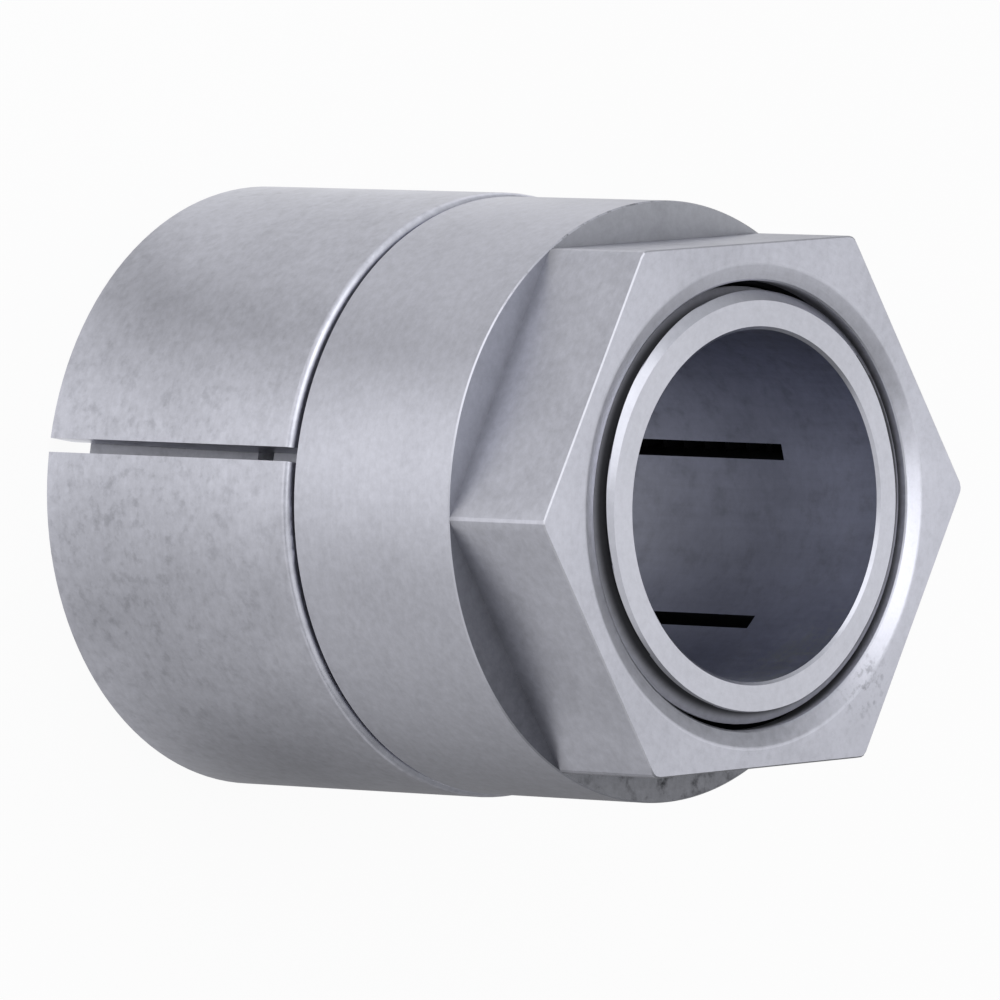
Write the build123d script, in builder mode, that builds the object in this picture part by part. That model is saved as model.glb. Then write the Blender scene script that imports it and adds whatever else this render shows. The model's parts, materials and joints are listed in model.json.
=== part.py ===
from build123d import *
import os

os.makedirs("parts", exist_ok=True)

# Keyless locking assembly for a one inch shaft, millimetres.
# It stands on its rear end: origin at the middle of the rear face, +Z along the
# shaft toward the nut, and the slit of the outer sleeve faces -Y.

# outer sleeve
sleeve_radius = 22.225          # 1 3/4 inch outside diameter
sleeve_length = 25.25
sleeve_front_round = 0.55       # rounded edge next to the nut
sleeve_rear_break = 0.25
slit_width = 1.05
slit_angle = 270.0

# matched tapers, wide at the rear and narrow toward the nut
taper_rear_radius = 19.75       # of the sleeve bore at the rear face
taper_slope = 0.1237            # radius lost per millimetre, about 7 degrees
taper_gap = 0.20                # free play on the radius before tightening

# captive joint between the outer sleeve and the nut
seat_height = 19.20             # shoulder the nut skirt pushes on
chamber_radius = 18.05          # groove inside the sleeve
lip_height = 22.10              # rear face of the sleeve lip
lip_radius = 17.40
running_gap = 0.06

# nut
collar_rear = 25.68
collar_front = 41.56
nut_front = 51.08
collar_radius = 21.95
collar_break = 0.10
hex_across_flats = 38.10        # 1 1/2 inch spanner
hex_corner_radius = 21.86       # turned before the flats are milled
hex_break = 0.10
hex_corner_angle = 281.2
thread_clear_radius = 15.95     # nut bore over the thread
mouth_radius = 16.33            # plain mouth in front of the thread
mouth_depth = 2.0
mouth_step = 0.4                # slope from the mouth down to the thread bore
sink_radius = 17.60             # the front face rounds over into the mouth
sink_depth = 0.45
skirt_lip_radius = 17.95
lead_in_width = 0.5             # opens the rear of the bore for the thread
lead_in_depth = 0.75
skirt_root_radius = lip_radius - running_gap

# inner sleeve
bore_radius = 12.80             # 0.1 over the shaft, all round
bore_break = 0.22
inner_rear = 1.25
inner_front = 51.30
cone_front = 17.20
neck_radius = 14.50             # relief behind the thread, below its roots
neck_length = 1.20
thread_radius = 15.87           # crests of the 1 1/4 inch, 12 per inch thread
thread_chamfer = 0.97
thread_rear_chamfer = 1.20
inner_rear_break = 0.35
slot_width = 1.25
slot_count = 6
slot_end = 42.00                # blind end, the ring in front is unsplit
slot_angle = 294.3


def taper_radius(height):
    return taper_rear_radius - taper_slope * height


# outer sleeve
with BuildPart() as outer_sleeve:
    with BuildSketch(Plane.XZ):
        with BuildLine():
            Polyline(
                (taper_radius(0) + sleeve_rear_break, 0),
                (sleeve_radius - sleeve_rear_break, 0),
                (sleeve_radius, sleeve_rear_break),
                (sleeve_radius, sleeve_length),
                (lip_radius + sleeve_rear_break, sleeve_length),
                (lip_radius, sleeve_length - sleeve_rear_break),
                (lip_radius, lip_height),
                (chamber_radius, lip_height),
                (chamber_radius, seat_height),
                (taper_radius(seat_height), seat_height),
                (taper_radius(sleeve_rear_break), sleeve_rear_break),
                close=True,
            )
        make_face()
    revolve(axis=Axis.Z)
    front_circles = outer_sleeve.edges().filter_by(GeomType.CIRCLE).group_by(Axis.Z)[-1]
    fillet(front_circles.sort_by(SortBy.RADIUS)[-1], radius=sleeve_front_round)
    # one saw cut down the whole length lets the sleeve open against the hub
    with BuildSketch(Plane.XY):
        with PolarLocations((sleeve_radius + lip_radius) / 2, 1, slit_angle):
            Rectangle(3 * (sleeve_radius - lip_radius), slit_width)
    extrude(amount=sleeve_length, mode=Mode.SUBTRACT)
outer_sleeve.part.label = "outer_sleeve"
export_step(outer_sleeve.part, "parts/outer_sleeve.step")

# inner sleeve
neck_rear = cone_front + (taper_radius(cone_front) - taper_gap - neck_radius) / 2
neck_front = neck_rear + neck_length

with BuildPart() as inner_sleeve:
    with BuildSketch(Plane.XZ):
        with BuildLine():
            Polyline(
                (bore_radius + inner_rear_break, inner_rear),
                (taper_radius(inner_rear) - taper_gap - inner_rear_break, inner_rear),
                (
                    taper_radius(inner_rear + inner_rear_break) - taper_gap,
                    inner_rear + inner_rear_break,
                ),
                (taper_radius(cone_front) - taper_gap, cone_front),
                (neck_radius, neck_rear),
                (neck_radius, neck_front),
                (thread_radius, neck_front + thread_rear_chamfer),
                (thread_radius, inner_front - thread_chamfer),
                (thread_radius - thread_chamfer, inner_front),
                (bore_radius + bore_break, inner_front),
                (bore_radius, inner_front - bore_break),
                (bore_radius, inner_rear + inner_rear_break),
                close=True,
            )
        make_face()
    revolve(axis=Axis.Z)
    # slots from the rear end, so the wall can close on the shaft
    with BuildSketch(Plane.XY.offset(inner_rear)):
        with PolarLocations((bore_radius + taper_rear_radius) / 2, slot_count, slot_angle):
            Rectangle(2 * (taper_rear_radius - bore_radius), slot_width)
    extrude(amount=slot_end - inner_rear, mode=Mode.SUBTRACT)
inner_sleeve.part.label = "inner_sleeve"
export_step(inner_sleeve.part, "parts/inner_sleeve.step")

# nut
with BuildPart() as nut:
    # collar, hexagon and the grooved skirt that reaches into the outer sleeve
    with BuildSketch(Plane.XZ):
        with BuildLine():
            Polyline(
                (thread_clear_radius, seat_height + running_gap),
                (skirt_lip_radius - collar_break, seat_height + running_gap),
                (skirt_lip_radius, seat_height + running_gap + collar_break),
                (skirt_lip_radius, lip_height - running_gap),
                (skirt_root_radius, lip_height - running_gap),
                (skirt_root_radius, collar_rear),
                (collar_radius - collar_break, collar_rear),
                (collar_radius, collar_rear + collar_break),
                (collar_radius, collar_front - collar_break),
                (collar_radius - collar_break, collar_front),
                (thread_clear_radius, collar_front),
                close=True,
            )
        make_face()
    revolve(axis=Axis.Z)
    with BuildSketch(Plane.XY.offset(collar_front)):
        Circle(hex_corner_radius)
        RegularPolygon(
            hex_across_flats / 2,
            6,
            major_radius=False,
            rotation=hex_corner_angle,
            mode=Mode.INTERSECT,
        )
    extrude(amount=nut_front - collar_front)
    front_face = nut.faces().sort_by(Axis.Z)[-1]
    chamfer(front_face.edges(), length=hex_break)
    # threaded bore with its plain, rounded mouth
    with BuildSketch(Plane.XZ):
        with BuildLine():
            Polyline(
                (sink_radius, nut_front),
                (0, nut_front),
                (0, seat_height),
                (thread_clear_radius + lead_in_width, seat_height),
                (thread_clear_radius, seat_height + lead_in_depth),
                (thread_clear_radius, nut_front - mouth_depth - mouth_step),
                (mouth_radius, nut_front - mouth_depth),
                (mouth_radius, nut_front - sink_depth),
            )
            TangentArc(
                (sink_radius, nut_front), (mouth_radius, nut_front - sink_depth), tangent=(-1, 0)
            )
        make_face()
    revolve(axis=Axis.Z, mode=Mode.SUBTRACT)
nut.part.label = "nut"
export_step(nut.part, "parts/nut.step")
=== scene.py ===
import json
import math

import bmesh
import bpy
from mathutils import Matrix, Vector


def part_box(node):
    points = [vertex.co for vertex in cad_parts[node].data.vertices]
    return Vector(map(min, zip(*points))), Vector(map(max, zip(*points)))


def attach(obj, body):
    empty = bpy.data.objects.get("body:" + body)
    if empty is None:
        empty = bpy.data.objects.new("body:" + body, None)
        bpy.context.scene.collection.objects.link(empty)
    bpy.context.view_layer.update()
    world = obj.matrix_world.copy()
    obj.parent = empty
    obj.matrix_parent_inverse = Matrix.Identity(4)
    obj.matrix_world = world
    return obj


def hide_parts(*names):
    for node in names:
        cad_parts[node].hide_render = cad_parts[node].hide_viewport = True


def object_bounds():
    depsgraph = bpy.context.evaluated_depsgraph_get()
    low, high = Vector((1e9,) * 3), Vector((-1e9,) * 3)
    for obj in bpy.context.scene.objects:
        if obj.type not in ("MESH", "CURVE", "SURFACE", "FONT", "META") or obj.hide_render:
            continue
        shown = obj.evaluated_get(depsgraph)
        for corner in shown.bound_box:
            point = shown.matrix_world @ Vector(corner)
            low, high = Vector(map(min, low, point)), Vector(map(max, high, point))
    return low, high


# Looks of a keyless locking bushing: a slit outer sleeve, a slotted and threaded
# inner sleeve, and the nut that draws them together. Metres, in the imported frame.

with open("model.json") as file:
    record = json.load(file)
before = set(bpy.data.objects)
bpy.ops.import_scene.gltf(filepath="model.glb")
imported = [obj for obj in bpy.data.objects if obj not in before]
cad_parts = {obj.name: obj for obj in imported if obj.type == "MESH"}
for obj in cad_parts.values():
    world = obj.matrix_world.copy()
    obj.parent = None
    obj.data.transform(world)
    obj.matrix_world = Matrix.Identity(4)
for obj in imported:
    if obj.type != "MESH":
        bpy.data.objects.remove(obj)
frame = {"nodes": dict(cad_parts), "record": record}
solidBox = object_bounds()
mounts = {mount["name"]: mount for mount in frame["record"]["mounts"]}
mm = 0.001
fullTurn = 2 * math.pi
sharpAngle = math.radians(16)     # an edge that turns by more than this stays crisp
print("frame loaded:", ", ".join(sorted(frame["nodes"])))


# shared mesh work

def columnAngles(count, corners=()):
    # even columns round the axis, where each corner takes over its nearest column
    angles = [fullTurn * i / count for i in range(count)]
    for corner in corners:
        corner %= fullTurn
        angles[round(corner / fullTurn * count) % count] = corner
    return sorted(angles)


def addRing(bm, angles, radius, height):
    # radius is a number or a function of the angle
    ring = []
    for angle in angles:
        r = radius(angle) if callable(radius) else radius
        ring.append(bm.verts.new((r * math.cos(angle), r * math.sin(angle), height)))
    return ring


def joinRings(bm, first, second, finish):
    for i in range(len(first)):
        j = (i + 1) % len(first)
        face = bm.faces.new((first[i], first[j], second[j], second[i]))
        face.material_index = finish


def threadRows(thread):
    # (height within one pitch, radius): a flat, a flank, the other flat, a flank
    flank = (thread["pitch"] - thread["outerFlat"] - thread["innerFlat"]) / 2
    depth = thread["outerRadius"] - thread["innerRadius"]
    steps = thread["flankSteps"]
    rows = [(0.0, thread["outerRadius"])]
    rows += [(thread["outerFlat"] + flank * k / steps, thread["outerRadius"] - depth * k / steps)
             for k in range(steps + 1)]
    rows += [(thread["pitch"] - flank + flank * k / steps,
              thread["innerRadius"] + depth * k / steps) for k in range(steps)]
    return rows


def threadRadius(thread, angle, height):
    rows = threadRows(thread)
    rows.append((thread["pitch"], rows[0][1]))
    rise = thread["pitch"] * angle / fullTurn
    inPitch = (height - thread["start"] - rise) % thread["pitch"]
    for (h0, r0), (h1, r1) in zip(rows, rows[1:]):
        if inPitch <= h1:
            return r0 + (r1 - r0) * (inPitch - h0) / (h1 - h0)


def addThread(bm, angles, lowRing, highRing, thread, trim, finish):
    # the rows follow the helix, so crests and roots stay sharp; trim cuts the two ends
    rows = threadRows(thread)
    low, high = lowRing[0].co.z, highRing[0].co.z
    made = {}

    def corner(row, column):
        if column == len(angles):
            row, column = row + len(rows), 0
        if (row, column) not in made:
            turn, step = divmod(row, len(rows))
            angle = angles[column]
            height = thread["start"] + rows[step][0] + thread["pitch"] * (turn + angle / fullTurn)
            if height < low + thread["merge"]:
                made[row, column] = lowRing[column]
            elif height > high - thread["merge"]:
                made[row, column] = highRing[column]
            else:
                r = trim(height, rows[step][1])
                made[row, column] = bm.verts.new((r * math.cos(angle), r * math.sin(angle), height))
        return made[row, column]

    # turns to spare at both ends: rows beyond a ring close up on it and make no faces
    firstTurn = math.floor((low - thread["start"]) / thread["pitch"]) - 2
    lastTurn = math.ceil((high - thread["start"]) / thread["pitch"]) + 1
    for row in range(firstTurn * len(rows), lastTurn * len(rows)):
        for column in range(len(angles)):
            around = [corner(row, column), corner(row, column + 1),
                      corner(row + 1, column + 1), corner(row + 1, column)]
            distinct = list(dict.fromkeys(around))
            if len(distinct) > 2:
                bm.faces.new(distinct).material_index = finish


def slotNumbers(size):
    # the place of each finish in the piece's list
    return {name: number for number, name in enumerate(size["finishes"])}


def finishMesh(bm, name, materials):
    bmesh.ops.recalc_face_normals(bm, faces=bm.faces)
    mesh = bpy.data.meshes.new(name)
    bm.to_mesh(mesh)
    bm.free()
    for material in materials:
        mesh.materials.append(material)
    mesh.shade_smooth()
    mesh.set_sharp_from_angle(angle=sharpAngle)
    piece = bpy.data.objects.new(name, mesh)
    bpy.context.scene.collection.objects.link(piece)
    return piece


# shared material work: every texture is laid in millimetres on the piece itself

class Nodes:
    def __init__(self, tree):
        self.tree = tree

    def new(self, kind, inputs=(), **settings):
        node = self.tree.nodes.new(kind)
        for key, value in settings.items():
            setattr(node, key, value)
        for key, value in dict(inputs).items():
            if isinstance(value, bpy.types.NodeSocket):
                self.tree.links.new(value, node.inputs[key])
            else:
                node.inputs[key].default_value = value
        return node

    def math(self, operation, a, b=0.0, clamp=False):
        return self.new("ShaderNodeMath", {0: a, 1: b}, operation=operation, use_clamp=clamp).outputs[0]

    def vector(self, operation, a, b=(0.0, 0.0, 0.0), output="Vector"):
        return self.new("ShaderNodeVectorMath", {0: a, 1: b}, operation=operation).outputs[output]

    def scaled(self, colour, factor):
        return self.new("ShaderNodeVectorMath", {0: colour, "Scale": factor},
                        operation="SCALE").outputs["Vector"]

    def noise(self, vector, scale, layers):
        # layers: how many finer noises are laid over the first, and how strongly
        detail, roughness = layers
        return self.new("ShaderNodeTexNoise", {"Vector": vector, "Scale": scale, "Detail": detail,
                                               "Roughness": roughness}).outputs["Fac"]

    def sway(self, value, texture, depth):
        # moves value up and down with a texture whose middle is 0.5
        return self.math("ADD", value, self.math("MULTIPLY", self.math("SUBTRACT", texture, 0.5), depth))

    def span(self, value, low, high, toLow=0.0, toHigh=1.0):
        return self.new("ShaderNodeMapRange", {"Value": value, "From Min": low, "From Max": high,
                                               "To Min": toLow, "To Max": toHigh},
                        interpolation_type="SMOOTHSTEP").outputs["Result"]


def emptyNodes(owner):
    owner.use_nodes = True
    owner.node_tree.nodes.clear()
    return Nodes(owner.node_tree)


def makeSteel(name, look):
    material = bpy.data.materials.new(name)
    n = emptyNodes(material)
    place = n.new("ShaderNodeTexCoord").outputs["Object"]
    place = n.vector("MULTIPLY", place, (1 / mm,) * 3)
    axes = n.new("ShaderNodeSeparateXYZ", {0: place}).outputs
    flat = n.new("ShaderNodeCombineXYZ", {0: axes["X"], 1: axes["Y"]}).outputs[0]
    radius = n.vector("LENGTH", flat, output="Value")
    outward = n.new("ShaderNodeSeparateXYZ", {0: n.vector("NORMALIZE", flat)}).outputs

    # tool marks: long along the cut and short across it
    if look["cut"] == "milled":
        level, upright = look["millMarks"]
        streaks = n.vector("MULTIPLY", place, (level, level, upright))
    else:
        across = radius if look["cut"] == "faced" else axes["Z"]
        streaks = n.new("ShaderNodeCombineXYZ", {
            0: n.math("MULTIPLY", outward["X"], look["markLength"]),
            1: n.math("MULTIPLY", outward["Y"], look["markLength"]),
            2: n.math("MULTIPLY", across, look["markPitch"])}).outputs[0]
    marks = n.noise(streaks, 1.0, look["markLayers"])

    grain = n.noise(place, look["grainScale"], look["grainLayers"])
    cloud = n.noise(place, look["cloudScale"], look["cloudLayers"])

    # stains: soft blotches, strongest round one spot
    spot = n.vector("DISTANCE", place, look["stainSpot"], "Value")
    near = n.span(spot, look["stainReach"], 0.0, look["stainFloor"], 1.0)
    blotch = n.span(n.noise(place, look["stainScale"], look["stainLayers"]), *look["stainEdge"])
    stain = n.math("MULTIPLY", blotch, near)

    shade = n.sway(1.0, cloud, look["cloudDepth"])
    shade = n.sway(shade, marks, look["markShade"])
    shade = n.sway(shade, grain, look["grainShade"])
    shade = n.math("SUBTRACT", shade, n.math("MULTIPLY", stain, look["stainDepth"]))
    # painted light: shade rises or falls steadily along one direction
    shade = n.math("ADD", shade, n.vector("DOT_PRODUCT", place, look["paintedLightSlope"], "Value"))
    # painted reflection: a faced surface is darker in two fans, toward +X and -X, like the bow-tie sheen of
    # its turning marks
    sideways = n.math("POWER", n.math("ABSOLUTE", outward["X"]), 2.0)
    shade = n.math("SUBTRACT", shade, n.math("MULTIPLY", sideways, look["paintedFans"]))
    # painted shade in recesses and corners, or a painted highlight band where least is over 1
    along, low, high, least = look["paintedLightBand"]
    paintedBand = n.span({"radius": radius, "height": axes["Z"]}[along], low, high, least, 1.0)
    colour = n.scaled(look["colour"], n.math("MULTIPLY", shade, paintedBand))

    rough = n.sway(look["roughness"], grain, look["grainRough"])
    rough = n.math("ADD", rough, n.math("MULTIPLY", stain, look["stainRough"]), clamp=True)

    height = n.math("ADD", n.math("MULTIPLY", marks, look["markHeight"]),
                    n.math("MULTIPLY", grain, look["grainHeight"]))
    bump = n.new("ShaderNodeBump", {"Height": height, "Strength": 1.0, "Distance": mm}).outputs[0]

    surface = n.new("ShaderNodeBsdfPrincipled", {"Base Color": colour, "Metallic": 1.0,
                                                 "Roughness": rough, "Normal": bump}).outputs[0]
    n.new("ShaderNodeOutputMaterial", {"Surface": surface})
    return material


# what every finish starts from; lengths in mm, scales in waves per mm
plainSteel = {
    "colour": (0.573, 0.579, 0.646), "roughness": 0.36,
    "cut": "turned",                                     # or faced, or milled
    "markLength": 5.0, "markPitch": 5.0,                 # turned and faced: round and across
    "millMarks": (1.2, 6.0),                             # milled: level and upright
    "markShade": 0.10, "markHeight": 0.004, "markLayers": (4.0, 0.65),
    "grainScale": 1.6, "grainShade": 0.45, "grainRough": 0.12, "grainHeight": 0.0025,
    "grainLayers": (4.0, 0.7),
    "cloudScale": 0.10, "cloudDepth": 0.14, "cloudLayers": (3.0, 0.55),
    "stainSpot": (6.0, -20.0, 8.0),                      # where stains are strongest
    "stainReach": 24.0, "stainFloor": 0.2,               # this far off, only this share is left
    "stainScale": 0.55, "stainDepth": 0.16, "stainRough": 0.08,
    "stainLayers": (5.0, 0.62), "stainEdge": (0.48, 0.70),
    "paintedLightSlope": (0.0, 0.0, 0.0),                             # painted light: change of shade for each mm along X, Y, Z
    "paintedFans": 0.0,                                          # how much darker the two fans of painted reflection are
    "paintedLightBand": ("radius", 0.0, 0.1, 1.0),                   # painted shade band: where shade is least, where full, the least
}

# what some finishes share
# darker than plain steel: on the skirt oiled, on the taper painted shade inside the slit
oiledAndShaded = {"colour": (0.42, 0.425, 0.465), "roughness": 0.45}
wornEdge = {"markHeight": 0.0005, "grainHeight": 0.0004, "grainShade": 0.16}
nutFront = {
    "cut": "faced", "roughness": 0.33, "cloudScale": 0.14, "cloudDepth": 0.30,
    "stainSpot": (11.2, 13.2, 51.0), "stainReach": 5.0, "stainFloor": 0.04,
    "stainScale": 1.6, "stainDepth": 0.45, "stainRough": 0.15,
}

finishes = {
    "sleeveTurned": {
        "cloudScale": 0.20, "cloudDepth": 0.26,
        "stainScale": 0.9, "stainFloor": 0.35, "stainDepth": 0.20,
        "paintedLightBand": ("height", 25.0, 24.65, 1.35)},          # painted highlight along its front edge
    "collarTurned": {"cloudDepth": 0.20, "stainFloor": 0.3, "stainDepth": 0.10},
    "nutMilled": {
        "cut": "milled", "roughness": 0.40, "cloudScale": 0.2, "cloudDepth": 0.32,
        # painted shade at the foot of the flats, where they meet the shoulder
        "stainFloor": 0.3, "stainDepth": 0.10, "paintedLightBand": ("height", 41.3, 43.2, 0.68)},
    "shoulderMilled": {
        "cut": "faced", "colour": (0.368, 0.374, 0.409), "roughness": 0.42,
        "stainSpot": (20.5, 4.0, 41.6), "stainReach": 16.0, "stainFloor": 0.1,
        # painted light: lighter toward -X, darker toward +X, and darker in two fans
        "stainScale": 0.45, "stainDepth": 0.6, "paintedLightSlope": (-0.011, -0.003, 0.0), "paintedFans": 0.18},
    "nutFaced": {
        # painted light: a slope of shade and two darker fans of painted reflection
        **nutFront, "colour": (0.593, 0.599, 0.669), "paintedLightSlope": (-0.001, 0.001, 0.0), "paintedFans": 0.12},
    # painted light: a slope of shade across the sink
    "sinkFaced": {**nutFront, "paintedLightSlope": (0.002, 0.002, 0.0)},
    "ringFaced": {
        "cut": "faced", "colour": (0.61, 0.616, 0.682), "roughness": 0.30,
        # painted reflection: two darker fans
        "grainShade": 0.30, "stainDepth": 0.04, "paintedFans": 0.08},
    "edgeWorn": {
        **wornEdge, "colour": (0.58, 0.585, 0.64), "roughness": 0.30,
        "stainFloor": 1.0, "stainScale": 2.0, "stainDepth": 0.08, "stainRough": 0.0},
    "collarWorn": {
        **wornEdge, "colour": (0.60, 0.605, 0.67), "roughness": 0.34,
        "stainSpot": (-19.0, -11.0, 41.5), "stainReach": 16.0, "stainFloor": 0.0,
        "stainScale": 1.5, "stainDepth": 0.7},
    "skirtOiled": oiledAndShaded,
    "taperPaintedShade": oiledAndShaded,
    # pale colour: painted light in the dark gap behind the taper
    "neckPaintedLight": {"colour": (0.85, 0.86, 0.92), "roughness": 0.75},
    "boreReamed": {
        "cut": "milled", "colour": (0.50, 0.515, 0.60), "roughness": 0.34,
        "millMarks": (1.5, 0.08), "markShade": 0.22, "grainShade": 0.32,
        "cloudScale": 0.15, "cloudDepth": 0.40, "stainFloor": 0.8,
        # painted light: lighter toward +X and toward the front rim
        "paintedLightSlope": (0.024, 0.0, 0.0), "paintedLightBand": ("height", 50.5, 38.0, 1.4)},
    "threadCut": {
        # painted shade, darker toward the thread roots
        "colour": (0.52, 0.525, 0.585), "roughness": 0.60, "paintedLightBand": ("radius", 14.9, 15.6, 0.15)},
    "mouthTurned": {
        # painted light: a pale colour lifts the mouth wall, with painted shade deeper in
        "colour": (0.72, 0.725, 0.80), "roughness": 0.65, "paintedLightBand": ("height", 49.6, 50.5, 0.35)},
    # near black: painted shade on the nut's hidden thread
    "threadHidden": {"colour": (0.012, 0.0125, 0.014), "roughness": 0.5},
    # near black: painted shade in the narrow slots
    "slotPaintedShade": {"cut": "milled", "colour": (0.08, 0.082, 0.09), "roughness": 0.5},
}
steel = {name: makeSteel(name, {**plainSteel, **changes}) for name, changes in finishes.items()}
print("finishes made:", len(steel))


# the screw between the nut and the inner sleeve, 12 threads per inch
screw = {
    "pitch": 25.4 / 12 * mm,
    "start": 47.47 * mm,          # height of one crest edge on the +X side
    "crestRadius": 15.87 * mm,
    "rootRadius": 14.57 * mm,
    "crestFlat": 0.265 * mm,
    "rootFlat": 0.35 * mm,
    "clearance": 0.08 * mm,       # on the radius, between the nut's roots and the crests
    "flankPlay": 0.12 * mm,       # along the axis, both flanks together
    "columns": 360,               # round the axis, on both pieces
    "merge": 0.012 * mm,          # a row this near a ring joins it
}
flankSlope = (screw["crestRadius"] - screw["rootRadius"]) * 2 / (
    screw["pitch"] - screw["crestFlat"] - screw["rootFlat"])


# outer sleeve: the solid has the right shape and takes its finish here

outerSleeve = frame["nodes"]["outer_sleeve"]
outerSleeve.material_slots[0].material = steel["sleeveTurned"]
print("outer sleeve finished")


# inner sleeve

innerSleeve = {
    "boreRadius": mounts["shaft_bore"]["dims"]["r_mm"] * mm,
    "boreBreak": 0.22 * mm,
    "rearBreak": 0.35 * mm,
    "coneFront": 17.20 * mm,
    "coneSlope": 0.1237,
    "neckRadius": 14.50 * mm,
    "neckLength": 1.20 * mm,
    "threadLead": 1.20 * mm,      # chamfer behind the thread
    "frontChamfer": 0.97 * mm,
    "chamferPlay": 0.02 * mm,     # a face this near the chamfer belongs to it
    "fineLength": 3.4 * mm,       # front stretch of the thread with finer flanks
    "fineSteps": 12,              # rows of faces down a flank
    "coarseSteps": 2,
    "slotCount": 6,
    "slotAngle": 294.3,
    "slotWidth": 1.25 * mm,
    "slotEnd": 42.00 * mm,
    "slotMargin": 3.0 * mm,       # how far the saw runs out of the wall
    "finishes": ("taperPaintedShade", "ringFaced", "boreReamed", "threadCut", "slotPaintedShade", "neckPaintedLight"),
}


def cutSlots(piece, size):
    bm = bmesh.new()
    low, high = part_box("inner_sleeve")
    margin = size["slotMargin"]
    inner, outer = size["boreRadius"] - margin, high.x + margin
    bottom = low.z - margin
    for k in range(size["slotCount"]):
        turn = Matrix.Rotation(math.radians(size["slotAngle"] + 360 / size["slotCount"] * k), 4, "Z")
        middle = Matrix.Translation(((inner + outer) / 2, 0, (bottom + size["slotEnd"]) / 2))
        stretch = Matrix.Diagonal((outer - inner, size["slotWidth"], size["slotEnd"] - bottom, 1))
        bmesh.ops.create_cube(bm, size=1, matrix=turn @ middle @ stretch)
    cutter = finishMesh(bm, "slotCutter", [steel["slotPaintedShade"]])
    cut = piece.modifiers.new("slots", "BOOLEAN")
    cut.operation = "DIFFERENCE"
    cut.solver = "MANIFOLD"
    cut.object = cutter
    shape = bpy.data.meshes.new_from_object(piece.evaluated_get(bpy.context.evaluated_depsgraph_get()))
    piece.modifiers.clear()
    piece.data = shape
    bpy.data.objects.remove(cutter)


def buildInnerSleeve(size):
    low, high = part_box("inner_sleeve")
    rear, front = low.z, high.z
    coneRear = high.x
    coneTip = coneRear - size["coneSlope"] * (size["coneFront"] - rear - size["rearBreak"])
    neckRear = size["coneFront"] + (coneTip - size["neckRadius"]) / 2
    neckFront = neckRear + size["neckLength"]
    leadSlope = (screw["crestRadius"] - size["neckRadius"]) / size["threadLead"]
    chamferRadius = screw["crestRadius"] - size["frontChamfer"]
    fineFrom = front - size["fineLength"]

    def trim(height, radius):
        return min(radius, chamferRadius + front - height,
                   size["neckRadius"] + (height - neckFront) * leadSlope)

    fine = {"pitch": screw["pitch"], "start": screw["start"], "merge": screw["merge"],
            "outerRadius": screw["crestRadius"], "innerRadius": screw["rootRadius"],
            "outerFlat": screw["crestFlat"], "innerFlat": screw["rootFlat"],
            "flankSteps": size["fineSteps"]}
    coarse = {**fine, "flankSteps": size["coarseSteps"]}
    angles = columnAngles(screw["columns"])
    bm = bmesh.new()
    bore = size["boreRadius"]
    boreRear = addRing(bm, angles, bore, rear + size["rearBreak"])
    rearInner = addRing(bm, angles, bore + size["rearBreak"], rear)
    rearRadius = coneRear + size["coneSlope"] * size["rearBreak"] - size["rearBreak"]
    rearOuter = addRing(bm, angles, rearRadius, rear)
    coneStart = addRing(bm, angles, coneRear, rear + size["rearBreak"])
    coneEnd = addRing(bm, angles, coneTip, size["coneFront"])
    neckStart = addRing(bm, angles, size["neckRadius"], neckRear)
    neckEnd = addRing(bm, angles, size["neckRadius"], neckFront)
    middle = addRing(bm, angles, lambda a: trim(fineFrom, threadRadius(fine, a, fineFrom)), fineFrom)
    rim = addRing(bm, angles, lambda a: trim(front, threadRadius(fine, a, front)), front)
    faceInner = addRing(bm, angles, bore + size["boreBreak"], front)
    boreFront = addRing(bm, angles, bore, front - size["boreBreak"])
    slots = slotNumbers(size)
    for first, second, finish in (
            (boreRear, rearInner, "boreReamed"), (rearInner, rearOuter, "ringFaced"),
            (rearOuter, coneStart, "taperPaintedShade"), (coneStart, coneEnd, "taperPaintedShade"),
            (coneEnd, neckStart, "neckPaintedLight"), (neckStart, neckEnd, "neckPaintedLight"),
            (rim, faceInner, "ringFaced"), (faceInner, boreFront, "ringFaced"),
            (boreFront, boreRear, "boreReamed")):
        joinRings(bm, first, second, slots[finish])
    addThread(bm, angles, neckEnd, middle, coarse, trim, slots["threadCut"])
    addThread(bm, angles, middle, rim, fine, trim, slots["threadCut"])
    # the front chamfer keeps the bright turned finish, the grooves the dull one with painted shade in their
    # roots
    for wall in bm.faces:
        if wall.material_index == slots["threadCut"]:
            centre = wall.calc_center_median()
            chamfer = chamferRadius + front - centre.z
            if abs(math.hypot(centre.x, centre.y) - chamfer) < size["chamferPlay"]:
                wall.material_index = slots["ringFaced"]
    sleeve = finishMesh(bm, "inner_sleeve_threaded", [steel[name] for name in size["finishes"]])
    cutSlots(sleeve, size)
    sleeve.data.set_sharp_from_angle(angle=sharpAngle)
    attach(sleeve, "inner_sleeve")
    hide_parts("inner_sleeve")
    return sleeve


threadedSleeve = buildInnerSleeve(innerSleeve)
print("inner sleeve cut:", len(threadedSleeve.data.polygons), "faces")


# nut

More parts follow.
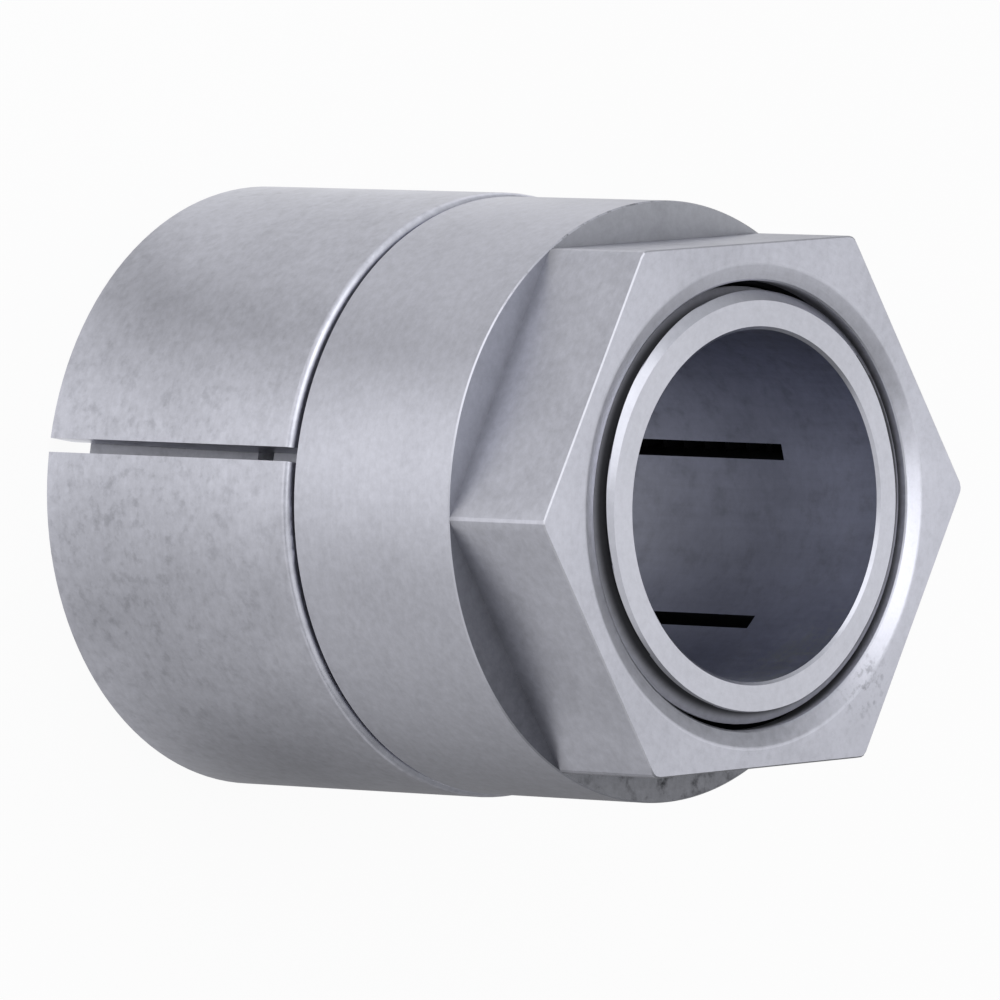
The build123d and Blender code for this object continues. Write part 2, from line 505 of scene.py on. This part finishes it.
nut = {
    "collarRear": 25.68 * mm,
    "collarFront": 41.56 * mm,
    "collarBreak": 0.10 * mm,
    "acrossFlats": 38.10 * mm,
    "cornerAngle": 281.2,
    "cornerRound": 0.80 * mm,     # worn round between two flats
    "cornerSteps": 3,
    "wornAngle": 10.0,            # half of the bright middle of that round
    "frontBreak": 0.10 * mm,
    "mouthRadius": 16.33 * mm,
    "mouthDepth": 2.0 * mm,
    "sinkRadius": 17.60 * mm,     # the front face slopes down into the mouth
    "sinkDepth": 0.45 * mm,
    "sinkEdge": (0.12 * mm, 0.09 * mm),     # width and depth of the corner down to the mouth
    "sinkRound": 0.15 * mm,       # half the width of its soft outer edge
    "lipRadius": 17.95 * mm,      # skirt held inside the outer sleeve
    "lipFront": 22.04 * mm,
    "skirtRadius": 17.34 * mm,
    "leadIn": (0.5 * mm, 0.75 * mm),        # width and depth, opens the rear of the thread
    "tipGap": 0.18 * mm,          # its crests stop short of the inner sleeve's roots
    "fineLength": 3.0 * mm,       # front stretch of the thread with finer flanks
    "fineSteps": 6,
    "coarseSteps": 1,
    "finishes": ("collarTurned", "nutMilled", "shoulderMilled", "nutFaced", "edgeWorn", "threadHidden",
                 "skirtOiled", "mouthTurned", "collarWorn", "sinkFaced"),
}


def buildNut(size):
    low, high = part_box("nut")
    rear, front = low.z, high.z
    collar = high.x
    apothem = size["acrossFlats"] / 2
    side, halfSide = math.radians(60), math.radians(30)
    roundMiddle = (apothem - size["cornerRound"]) / math.cos(halfSide)

    def offCorner(tilt, curve):
        # angle from the corner's middle to where its curve faces tilt
        return math.atan2(curve * math.sin(tilt), roundMiddle + curve * math.cos(tilt))

    steps = size["cornerSteps"]
    corners = [math.radians(size["cornerAngle"] + 60 * k)
               + offCorner(halfSide * j / steps, size["cornerRound"])
               for k in range(6) for j in range(-steps, steps + 1)]
    angles = columnAngles(screw["columns"], corners)

    def hexagon(inset):
        curve = size["cornerRound"] - inset
        curveEnd = offCorner(halfSide, curve)

        def radius(angle):
            off = (angle - math.radians(size["cornerAngle"])) % side
            off = min(off, side - off)
            if off < curveEnd:
                return roundMiddle * math.cos(off) + math.sqrt(
                    curve ** 2 - (roundMiddle * math.sin(off)) ** 2)
            return (apothem - inset) / math.cos(halfSide - off)
        return radius

    clearRadius = screw["crestRadius"] + screw["clearance"]
    tipRadius = screw["rootRadius"] + size["tipGap"]
    tipFlat = screw["rootFlat"] + 2 * (tipRadius - screw["rootRadius"]) / flankSlope - screw["flankPlay"]
    wallFlat = screw["pitch"] - tipFlat - 2 * (clearRadius - tipRadius) / flankSlope
    fine = {"pitch": screw["pitch"], "merge": screw["merge"],
            "start": screw["start"] + (screw["crestFlat"] - wallFlat) / 2,
            "outerRadius": clearRadius, "innerRadius": tipRadius,
            "outerFlat": wallFlat, "innerFlat": tipFlat, "flankSteps": size["fineSteps"]}
    coarse = {**fine, "flankSteps": size["coarseSteps"]}
    mouthFloor = front - size["mouthDepth"]
    leadWidth, leadDepth = size["leadIn"]

    def trim(height, radius):
        opening = clearRadius + leadWidth * (rear + leadDepth - height) / leadDepth
        mouth = size["mouthRadius"] - (mouthFloor - height)
        return max(radius, opening if height < rear + leadDepth else 0,
                   min(mouth, size["mouthRadius"]))

    collarBreak = size["collarBreak"]
    edgeWidth, edgeDepth = size["sinkEdge"]
    sinkStart, sinkRound = size["sinkRadius"], size["sinkRound"]
    sinkSlope = (size["sinkDepth"] - edgeDepth) / (sinkStart - size["mouthRadius"] - edgeWidth)
    bm = bmesh.new()
    # radius, height, and the finish of the stretch up to the next point
    outline = [
        (clearRadius + leadWidth, rear, "skirtOiled"),
        (size["lipRadius"] - collarBreak, rear, "skirtOiled"),
        (size["lipRadius"], rear + collarBreak, "skirtOiled"),
        (size["lipRadius"], size["lipFront"], "skirtOiled"),
        (size["skirtRadius"], size["lipFront"], "skirtOiled"),
        (size["skirtRadius"], size["collarRear"], "nutFaced"),
        (collar - collarBreak, size["collarRear"], "collarTurned"),
        (collar, size["collarRear"] + collarBreak, "collarTurned"),
        (collar, size["collarFront"] - collarBreak, "collarWorn"),
        (collar - collarBreak, size["collarFront"], "shoulderMilled"),
        (hexagon(0), size["collarFront"], "nutMilled"),
        (hexagon(0), front - size["frontBreak"], "edgeWorn"),
        (hexagon(size["frontBreak"]), front, "nutFaced"),
        (sinkStart + sinkRound, front, "sinkFaced"),
        (sinkStart, front - sinkRound * sinkSlope / 4, "sinkFaced"),         # middle of the soft edge
        (sinkStart - sinkRound, front - sinkRound * sinkSlope, "sinkFaced"),
        (size["mouthRadius"] + edgeWidth, front - size["sinkDepth"] + edgeDepth, "sinkFaced"),
        (size["mouthRadius"], front - size["sinkDepth"], "mouthTurned"),
        (size["mouthRadius"], mouthFloor, "threadHidden"),
    ]
    slots = slotNumbers(size)
    rings = [addRing(bm, angles, radius, height) for radius, height, finish in outline]
    for (radius, height, finish), first, second in zip(outline, rings, rings[1:]):
        joinRings(bm, first, second, slots[finish])
    fineFrom = mouthFloor - size["fineLength"]
    middle = addRing(bm, angles, lambda a: trim(fineFrom, threadRadius(fine, a, fineFrom)), fineFrom)
    addThread(bm, angles, middle, rings[-1], fine, trim, slots["threadHidden"])
    addThread(bm, angles, rings[0], middle, coarse, trim, slots["threadHidden"])
    # the bright middle of each rounded corner
    wornFrom = roundMiddle + size["cornerRound"] * math.cos(math.radians(size["wornAngle"]))
    for wall in bm.faces:
        centre = wall.calc_center_median()
        if wall.material_index == slots["nutMilled"] and math.hypot(centre.x, centre.y) > wornFrom:
            wall.material_index = slots["edgeWorn"]
    piece = finishMesh(bm, "nut_threaded", [steel[name] for name in size["finishes"]])
    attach(piece, "nut")
    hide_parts("nut")
    return piece


threadedNut = buildNut(nut)
print("nut cut:", len(threadedNut.data.polygons), "faces")


# floor: plain and pale; in the metal it shows painted reflections, pools of light and dark spots round the
# object

floorLook = {
    "halfWidth": 1.5, "squares": 8, "drop": 0.02 * mm,
    "colour": (0.86, 0.86, 0.87),
    "fibreScale": 900.0, "fibreLayers": (3.0, 0.5), "fibreShade": (0.985, 1.015),
    "cameraWhite": 0.94,
    "openFrom": (14.0 * mm, 16.0 * mm),                  # inside this the bore stands over it
    # painted reflection: the glow seen in the metal where the floor lies under the bore
    "underBore": 0.45,
    "poolBase": 0.23,
    # painted reflection, seen only in the metal: pools of light, where a negative one is painted shade
    "pools": [                                           # azimuth, brightness, tightness
        (265, 0.37, 16.0), (214, 0.52, 0.7), (315, 0.40, 1.8), (151, 0.35, 10.0),
        (229, -0.12, 60.0)],
    # painted reflection, seen only in the metal: two painted shadows and one bright spot
    "spots": [                                           # middle, reach, brightness
        ((-3.0 * mm, -21.5 * mm, 0), 14.5 * mm, -0.39),
        ((0, 1.0 * mm, 0), 15.0 * mm, 0.80),
        ((25.0 * mm, -3.0 * mm, 0), 13.0 * mm, -0.33)],
}


def buildFloor(look):
    bm = bmesh.new()
    bmesh.ops.create_grid(bm, x_segments=look["squares"], y_segments=look["squares"], size=look["halfWidth"])
    material = bpy.data.materials.new("floorPaper")
    n = emptyNodes(material)
    place = n.new("ShaderNodeTexCoord").outputs["Object"]
    reach = n.vector("LENGTH", place, output="Value")
    outward = n.vector("NORMALIZE", place)
    fibre = n.noise(place, look["fibreScale"], look["fibreLayers"])
    colour = n.scaled(look["colour"], n.span(fibre, 0.0, 1.0, *look["fibreShade"]))
    paper = n.new("ShaderNodeBsdfDiffuse", {"Color": colour}).outputs[0]
    glow = look["poolBase"]
    for azimuth, brightness, tightness in look["pools"]:
        middle = (math.cos(math.radians(azimuth)), math.sin(math.radians(azimuth)), 0)
        facing = n.vector("DOT_PRODUCT", outward, middle, "Value")
        pool = n.math("POWER", n.math("MAXIMUM", facing, 0.0), tightness)
        glow = n.math("ADD", n.math("MULTIPLY", pool, brightness), glow)
    for middle, size, brightness in look["spots"]:
        # a spot fades outward as a bell curve
        away = n.vector("DISTANCE", place, middle, "Value")
        fall = n.math("POWER", n.math("DIVIDE", away, size), 2.0)
        bell = n.math("EXPONENT", n.math("MULTIPLY", fall, -0.5))
        glow = n.math("ADD", n.math("MULTIPLY", bell, brightness), glow)
    glow = n.math("MAXIMUM", glow, 0.0)
    opened = n.span(reach, *look["openFrom"])
    glow = n.math("ADD", n.math("MULTIPLY", glow, opened),
                  n.math("MULTIPLY", n.math("SUBTRACT", 1.0, opened), look["underBore"]))
    # white to the camera and a painted reflection in the metal; to all other light it is paper
    rays = n.new("ShaderNodeLightPath").outputs
    seen = n.math("ADD", rays["Is Camera Ray"], rays["Is Transmission Ray"], clamp=True)
    seen = n.math("MULTIPLY", n.math("MULTIPLY", seen, look["cameraWhite"]), opened)
    share = n.math("ADD", seen, rays["Is Glossy Ray"], clamp=True)
    brightness = n.math("ADD", n.math("MULTIPLY", glow, rays["Is Glossy Ray"]),
                        n.math("SUBTRACT", 1.0, rays["Is Glossy Ray"]))
    white = n.new("ShaderNodeEmission", {"Color": brightness, "Strength": 1.0}).outputs[0]
    mixed = n.new("ShaderNodeMixShader", {0: share, 1: paper, 2: white}).outputs[0]
    n.new("ShaderNodeOutputMaterial", {"Surface": mixed})
    floor = finishMesh(bm, "floor", [material])
    floor.location.z = solidBox[0].z - look["drop"]


buildFloor(floorLook)


# light

lamps = {
    "overhead": {
        "towards": (-0.14, 0.20, 0.96), "distance": 0.75, "size": (0.32, 0.32), "brightness": 2.3},
    "frontLeft": {
        "towards": (-0.45, -0.52, 0.62), "distance": 0.85, "size": (0.85, 0.70), "brightness": 0.9},
    "nearSide": {
        "towards": (0.52, -0.50, 0.66), "distance": 0.85, "size": (0.90, 0.85), "brightness": 0.50},
    "farSide": {
        "towards": (0.0, 0.71, 0.70), "distance": 0.95, "size": (0.62, 0.62), "brightness": 0.73},
}
room = {
    "colour": (0.97, 0.985, 1.0), "low": 0.22, "high": 0.72,
    "brightSide": (-0.85, -0.45, 0.15), "openFrom": 0.0,
}


def buildLamp(name, lamp):
    data = bpy.data.lights.new(name, "AREA")
    data.shape = "RECTANGLE"
    data.size, data.size_y = lamp["size"]
    data.energy = lamp["brightness"] * math.pi * data.size * data.size_y      # watts from brightness
    towards = Vector(lamp["towards"]).normalized()
    light = bpy.data.objects.new(name, data)
    light.location = towards * lamp["distance"]
    light.rotation_mode = "QUATERNION"
    light.rotation_quaternion = towards.to_track_quat("Z", "Y")
    light.visible_camera = False
    bpy.context.scene.collection.objects.link(light)


def buildRoom(look):
    world = bpy.data.worlds.new("room")
    bpy.context.scene.world = world
    n = emptyNodes(world)
    direction = n.new("ShaderNodeTexCoord").outputs["Generated"]
    side = Vector(look["brightSide"]).normalized()
    facing = n.vector("DOT_PRODUCT", direction, side, "Value")
    strength = n.span(facing, look["openFrom"], 1.0, look["low"], look["high"])
    glow = n.new("ShaderNodeBackground", {"Color": (*look["colour"], 1), "Strength": strength}).outputs[0]
    n.new("ShaderNodeOutputWorld", {"Surface": glow})


for name, lamp in lamps.items():
    buildLamp(name, lamp)
buildRoom(room)
print("floor and light set")


# camera: looks down on the standing bushing, rolled so that its axis lies nearly level

cameraView = {
    "aim": (0.351 * mm, 0.078 * mm, 25.099 * mm), "distance": 1.333, "azimuth": -84.002,
    "elevation": 44.523, "roll": -92.408, "lens": 653.44, "sensor": 36.0, "clip": (0.05, 20.0),
}


def buildCamera(view):
    data = bpy.data.cameras.new("camera")
    data.lens, data.sensor_width = view["lens"], view["sensor"]
    azimuth, elevation = math.radians(view["azimuth"]), math.radians(view["elevation"])
    back = Vector((math.cos(elevation) * math.cos(azimuth), math.cos(elevation) * math.sin(azimuth),
                   math.sin(elevation)))
    level = (-back).to_track_quat("-Z", "Y").to_matrix().to_4x4()
    camera = bpy.data.objects.new("camera", data)
    spin = Matrix.Rotation(-math.radians(view["roll"]), 4, "Z")
    camera.matrix_world = Matrix.Translation(Vector(view["aim"]) + back * view["distance"]) @ level @ spin
    data.clip_start, data.clip_end = view["clip"]
    bpy.context.scene.collection.objects.link(camera)
    bpy.context.scene.camera = camera


buildCamera(cameraView)
bpy.context.scene.view_settings.view_transform = "Standard"
